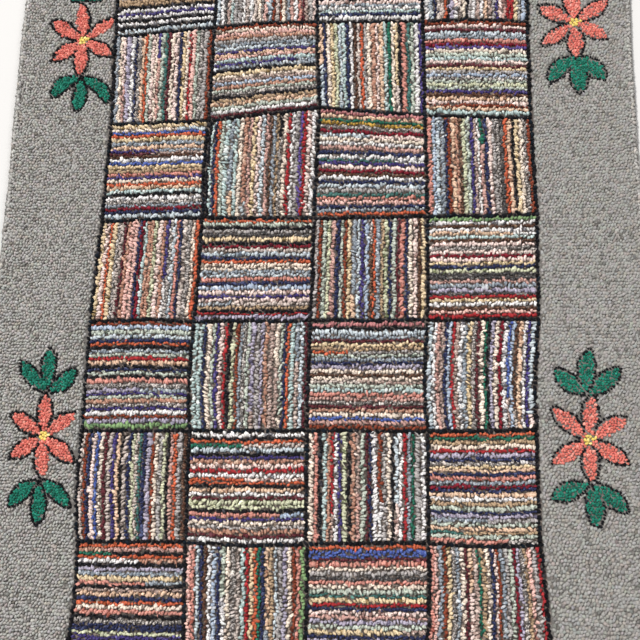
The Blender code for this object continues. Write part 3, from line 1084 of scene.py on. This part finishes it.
def flat_piece(name, edge_lines, block_steps, bottom, top, material):
    """A closed flat body: a grid on the rug's plan, extruded, its two sides set to their heights.

    The grid has lines at those distances in from the edge, and so many steps across each block.
    """
    across = plan_lines(HALF_WIDTH, BLOCK_WIDTH, BLOCKS_ACROSS, edge_lines, block_steps)
    along = plan_lines(HALF_LENGTH, BLOCK_LENGTH, BLOCKS_ALONG, edge_lines, block_steps)
    select_none()
    bpy.ops.mesh.primitive_grid_add(
        x_subdivisions=len(across) - 1, y_subdivisions=len(along) - 1, size=2, location=(0, 0, 0)
    )
    piece = bpy.context.object
    piece.name = piece.data.name = name
    bpy.ops.object.mode_set(mode="EDIT")
    bpy.ops.mesh.select_all(action="SELECT")
    bpy.ops.mesh.extrude_region_move(TRANSFORM_OT_translate={"value": (0, 0, 1)})
    bpy.ops.mesh.select_all(action="SELECT")
    bpy.ops.mesh.normals_make_consistent(inside=False)
    bpy.ops.object.mode_set(mode="OBJECT")
    count = len(piece.data.vertices)
    points = np.empty(count * 3, np.float32)
    piece.data.vertices.foreach_get("co", points)
    points = points.reshape(-1, 3).astype(float)
    x = across[np.round((points[:, 0] + 1) / 2 * (len(across) - 1)).astype(int)]
    y = along[np.round((points[:, 1] + 1) / 2 * (len(along) - 1)).astype(int)]
    height = np.where(points[:, 2] > 0.5, top(x, y), bottom(x, y))
    points = np.stack([*placed(x, y), height], 1)
    piece.data.vertices.foreach_set("co", points.ravel().astype(np.float32))
    piece.data.update()
    piece.data.materials.append(material)
    piece.data.shade_smooth()
    return piece


CLOTH_LIFT = 0.0002  # the stitches of the strips on the back hold the cloth this far off the floor
HEM_EDGE = 0.0004  # how far in the hem's cut edge slopes
FOLD_ROUNDING = 0.0015  # how far in the fold at the rug's edge is round
FOLD_LEAST = 0.15  # where its curve starts, as a share of that
FOLD_LINE = 0.0004  # how far in from the fold the cloth's next grid line lies
CLOTH_STEPS = 3  # grid steps across a block of the cloth, and of the roots
ROOTS_STEPS = 8


def cloth_underside(x, y):
    """Level at the hem, up over its inner edge, and down to the floor again inside it."""
    distance = edge_distance(x, y)
    down = np.clip((distance - HEM_WIDTH) / HEM_RAMP, 0, 1)
    inside = CLOTH_THICKNESS * (1 - down)
    return CLOTH_LIFT + np.where(distance > HEM_WIDTH - HEM_EDGE / 2, inside, 0)


def cloth_upper(x, y):
    from_fold = np.maximum(edge_distance(x, y) - PILE_OVERHANG, 0)
    rounding = np.sqrt(np.clip(from_fold / FOLD_ROUNDING, FOLD_LEAST, 1))
    return CLOTH_LIFT + (cloth_top(x, y) - CLOTH_LIFT) * rounding


def burlap_piece(material):
    lines_in = (
        PILE_OVERHANG, PILE_OVERHANG + FOLD_LINE, PILE_OVERHANG + FOLD_ROUNDING, CORNER_RADIUS,
        HEM_WIDTH - HEM_EDGE, HEM_WIDTH, HEM_WIDTH + HEM_RAMP / 2, HEM_WIDTH + HEM_RAMP, 0.09,
    )
    return flat_piece("burlap", lines_in, CLOTH_STEPS, cloth_underside, cloth_upper, material)


def roots_below(x, y):
    """How far the roots' top lies below the pile's: less in the border, where the loops stand out less."""
    in_border = np.maximum(*border_share(x, y)) > 0
    return np.where(in_border, from_side_to_side(x, BORDER_RELIEF) - ROOTS_UP_BORDER, ROOT_DEPTH - ROOTS_UP)


def roots_piece(field_material, border_material):
    """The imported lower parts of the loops, which show as shade between their tops."""
    lines_in = (  # the last lies just outside the field, where the roots' top rises
        0.0012, 0.003, 0.006, 0.010, CORNER_RADIUS, HEM_WIDTH, HEM_WIDTH + HEM_RAMP, 0.06, 0.10, 0.144,
    )
    roots = flat_piece(
        "pile_roots",
        lines_in,
        ROOTS_STEPS,
        lambda x, y: cloth_top(x, y) + FIT_GAP,
        lambda x, y: pile_top(x, y) - roots_below(x, y),
        field_material,
    )
    roots.data.materials.append(border_material)
    for face in roots.data.polygons:
        face.material_index = int(out_of_field(np.array(face.center.xy)).max() > MILLIMETRE)
    return roots


# ---- Materials ----
# name, size of the flecks, how light the painted gap shade leaves the loops' feet next to their tips,
# strength of the folds
WOOL_FINISHES = (
    ("block_strips", 0.0017, 0.46, 0.9),
    ("outline_wool", 0.0020, 0.40, 0.5),
    ("border_wool", 0.0020, 0.45, 0.7),
    ("sprig_wool", 0.0026, 0.45, 0.5),
)


def new_material(name):
    material = bpy.data.materials.new(name)
    material.use_nodes = True
    tree = material.node_tree
    shader = tree.nodes["Principled BSDF"]
    shader.inputs["Specular IOR Level"].default_value = 0.08
    shader.inputs["Sheen Roughness"].default_value = 0.5
    return material, tree, shader


def feed(tree, socket, value):
    """Sets a socket to a value, or links it to what another node puts out."""
    if isinstance(value, bpy.types.NodeSocket):
        tree.links.new(value, socket)
    else:
        socket.default_value = value


def add(tree, kind, **values):
    """A node, with its properties set and, where a name is a socket's, its inputs fed."""
    made = tree.nodes.new(kind)
    for name, value in values.items():
        socket = name.replace("_", " ")
        if socket in made.inputs and not hasattr(made, name):
            feed(tree, made.inputs[socket], value)
        else:
            setattr(made, name, value)
    return made


def mix_colours(tree, factor, first, second, blend="MIX"):
    node = add(tree, "ShaderNodeMix", data_type="RGBA", blend_type=blend)
    for socket, value in ((0, factor), (6, first), (7, second)):
        feed(tree, node.inputs[socket], value)
    return node.outputs[2]


def math_node(tree, operation, first, second, clamp=False):
    node = add(tree, "ShaderNodeMath", operation=operation, use_clamp=clamp)
    feed(tree, node.inputs[0], first)
    feed(tree, node.inputs[1], second)
    return node.outputs[0]


def ranged(tree, value, low, high, start=0.0, end=1.0):
    """The value spread so that start becomes low and end becomes high, and held between them."""
    limits = {"From_Min": start, "From_Max": end, "To_Min": low, "To_Max": high}
    return add(tree, "ShaderNodeMapRange", clamp=True, Value=value, **limits).outputs["Result"]


def raise_surface(tree, shader, height, strength, distance):
    bump = add(tree, "ShaderNodeBump", Strength=strength, Distance=distance, Height=height)
    feed(tree, shader.inputs["Normal"], bump.outputs["Normal"])


def cloth_strip_group():
    """Cut cloth: flecks of a second colour, fibres across it, its folds as a height, and painted shade,
    darker down towards the loops' feet.
    """
    group = bpy.data.node_groups.new("cloth_strip", "ShaderNodeTree")
    for way, colours, numbers in (
        ("INPUT", ("Colour", "Fleck"), ("Fleck Share", "Depth", "Fleck Size", "Gap Light")),
        ("OUTPUT", ("Colour",), ("Height", "Roughness")),
    ):
        for name in colours:
            group.interface.new_socket(name=name, in_out=way, socket_type="NodeSocketColor")
        for name in numbers:
            group.interface.new_socket(name=name, in_out=way, socket_type="NodeSocketFloat")
    given = add(group, "NodeGroupInput").outputs
    place = add(group, "ShaderNodeTexCoord").outputs["Object"]
    scale = math_node(group, "DIVIDE", 1.0, given["Fleck Size"])
    flecks = add(group, "ShaderNodeTexNoise", Vector=place, Scale=scale, Detail=2.0, Roughness=0.6)
    spread = ranged(group, flecks.outputs["Fac"], 0.0, 1.0, start=0.36, end=0.64)
    over = math_node(group, "SUBTRACT", spread, math_node(group, "SUBTRACT", 1.0, given["Fleck Share"]))
    mask = math_node(group, "MULTIPLY", over, 6.0, clamp=True)
    flecked = mix_colours(group, mask, given["Colour"], given["Fleck"])
    fibres = add(group, "ShaderNodeTexNoise", Vector=place, Scale=1700.0, Detail=3.0, Roughness=0.7)
    fibre = fibres.outputs["Fac"]
    # painted shade: the colour is darkened towards the loops' feet, down to the painted gap light, and times
    # the fibres' random tone
    shade = ranged(group, given["Depth"], given["Gap Light"], 1.0, end=0.85)
    light = math_node(group, "MULTIPLY", ranged(group, fibre, 0.74, 1.22, start=0.25, end=0.75), shade)
    grey = add(group, "ShaderNodeCombineColor", Red=light, Green=light, Blue=light).outputs["Color"]
    folds = add(group, "ShaderNodeTexNoise", Vector=place, Scale=420.0, Detail=2.0, Roughness=0.5)
    fine = math_node(group, "MULTIPLY", fibre, 0.35)
    add(
        group,
        "NodeGroupOutput",
        Colour=mix_colours(group, 1.0, flecked, grey, "MULTIPLY"),
        Height=math_node(group, "ADD", folds.outputs["Fac"], fine),
        Roughness=ranged(group, fibre, 0.78, 1.0),
    )
    return group


def cloth_finish(tree, shader, group, strength, distance, **looks):
    """Feeds the shader from the cloth group, whose inputs are given."""
    cloth = add(tree, "ShaderNodeGroup", node_tree=group, **looks)
    feed(tree, shader.inputs["Base Color"], cloth.outputs["Colour"])
    feed(tree, shader.inputs["Roughness"], cloth.outputs["Roughness"])
    raise_surface(tree, shader, cloth.outputs["Height"], strength, distance)


def strip_material(group, name, fleck_size, painted_gap_light, bump):
    """A cloth whose colours lie on the loops, from the points' own colours."""
    material, tree, shader = new_material(name)
    shader.inputs["Sheen Weight"].default_value = 0.05
    strip = add(tree, "ShaderNodeAttribute", attribute_name="strip").outputs
    fleck = add(tree, "ShaderNodeAttribute", attribute_name="fleck").outputs
    # the strip colours' fourth value sets the painted shade towards the loops' feet
    looks = {"Colour": strip["Color"], "Depth": strip["Alpha"], "Fleck": fleck["Color"]}
    looks |= {"Fleck_Share": fleck["Alpha"], "Fleck_Size": fleck_size, "Gap_Light": painted_gap_light}
    cloth_finish(tree, shader, group, bump, 0.0008, **looks)
    return material


def roots_material(name, group, colour, fleck):
    """The lower parts of the loops, mixed in colour, with painted shade: darker than the loops' tops, as they
    lie in the shade between them.
    """
    material, tree, shader = new_material(name)
    looks = {"Colour": opaque(colour), "Fleck": opaque(fleck), "Fleck_Share": 0.4, "Fleck_Size": 0.004}
    # painted shade: the roots are darkened as if halfway down a loop
    cloth_finish(tree, shader, group, 0.6, 0.001, Depth=0.5, Gap_Light=0.4, **looks)
    return material


def burlap_material():
    """Coarse plain weave: jute threads over and under each other, unevenly spun."""
    material, tree, shader = new_material("burlap")
    place = add(tree, "ShaderNodeTexCoord").outputs["Object"]
    wave = {"Vector": place, "Scale": 105.0, "Distortion": 1.2, "Detail_Scale": 0.6}
    threads = [add(tree, "ShaderNodeTexWave", bands_direction=axis, **wave) for axis in ("X", "Y")]
    weave = math_node(tree, "MAXIMUM", *(thread.outputs["Fac"] for thread in threads))
    tone = add(tree, "ShaderNodeTexNoise", Vector=place, Scale=260.0, Detail=3.0).outputs["Fac"]
    light = mix_colours(tree, tone, *(opaque(code) for code in JUTE))
    # painted shade: darker between the threads
    feed(tree, shader.inputs["Base Color"], mix_colours(tree, weave, opaque(JUTE_GAP), light))
    feed(tree, shader.inputs["Roughness"], ranged(tree, tone, 0.8, 1.0))
    raise_surface(tree, shader, weave, 0.8, 0.0006)
    return material


def floor_material():
    material, _, shader = new_material("pale_floor")
    shader.inputs["Base Color"].default_value = FLOOR_COLOUR
    shader.inputs["Roughness"].default_value = 0.7
    return material


# ---- Building it all ----
def keep(piece, node):
    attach(piece, "root")
    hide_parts(node)
    return piece


def build_rug():
    group = cloth_strip_group()
    strips, outline, border, motif = (strip_material(group, *finish) for finish in WOOL_FINISHES)
    # painted shade: the roots' colours are darker than the wool of the loops over them, standing in for the
    # shade between the loops' tops
    field_roots = roots_material("field_roots", group, "5C5450", "8C8078")
    border_roots = roots_material("border_roots", group, "76726E", "908C88")
    on_cloth = [roots_piece(field_roots, border_roots)]
    for line in range(BLOCKS_ALONG):
        loops = np.concatenate([block_loops(line, column) for column in range(BLOCKS_ACROSS)])
        on_cloth.append(hooked(f"blocks_line_{line + 1}", loops, strips, line, STRIP_LOOP))
    made = [("dark_rows", outline_rows(), outline, WOOL_LOOP)]
    sprig_parts, ground = border_loops()
    left, along = ground["x"] < 0, ground["y"] > 0
    for side, beside in (("left", left), ("right", ~left)):
        made.append((f"border_{side}_far", ground[beside & along], border, BORDER_LOOP, BORDER_MOTTLING))
        made.append((f"border_{side}_near", ground[beside & ~along], border, BORDER_LOOP, BORDER_MOTTLING))
    made += [(name, loops, motif, WOOL_LOOP) for name, loops in sprig_parts.items()]
    made.append(("border_edge_rows", edge_rows(), border, WOOL_LOOP))
    for name, loops, material, *model in made:
        on_cloth.append(hooked(name, loops, material, PIECE_SEEDS[name], *model))
    for piece in on_cloth:
        keep(piece, "pile")
    burlap = keep(burlap_piece(burlap_material()), "foundation")


def build_floor():
    select_none()
    bpy.ops.mesh.primitive_plane_add(size=FLOOR_SIZE, location=(0, 0, 0))
    floor = bpy.context.object
    floor.name = floor.data.name = "floor"
    floor.data.materials.append(floor_material())


def build_camera():
    """The photo's view: from above and a little towards the rug's -Y end, the camera slightly rolled."""
    lens_data = bpy.data.cameras.new("camera")
    lens_data.sensor_width = CAMERA_SENSOR
    lens_data.lens = CAMERA_LENS
    camera = bpy.data.objects.new("camera", lens_data)
    camera.location = CAMERA_PLACE
    camera.rotation_euler = Euler([math.radians(angle) for angle in CAMERA_TURN])
    bpy.context.scene.collection.objects.link(camera)
    bpy.context.scene.camera = camera


def build_light():
    for name, place, size, power, colour in LIGHTS:
        data = bpy.data.lights.new(name, "AREA")
        data.shape = "DISK"
        data.size = size
        data.energy = power
        data.color = colour
        light = bpy.data.objects.new(name, data)
        light.location = place
        light.rotation_euler = (-Vector(place)).to_track_quat("-Z", "Y").to_euler()
        bpy.context.scene.collection.objects.link(light)
    world = bpy.data.worlds.new("studio")
    world.use_nodes = True
    background = world.node_tree.nodes["Background"]
    background.inputs["Color"].default_value = (1, 1, 1, 1)
    background.inputs["Strength"].default_value = ROOM_LIGHT
    bpy.context.scene.world = world
    bpy.context.scene.view_settings.view_transform = "Standard"


build_floor()
build_rug()
build_camera()
build_light()
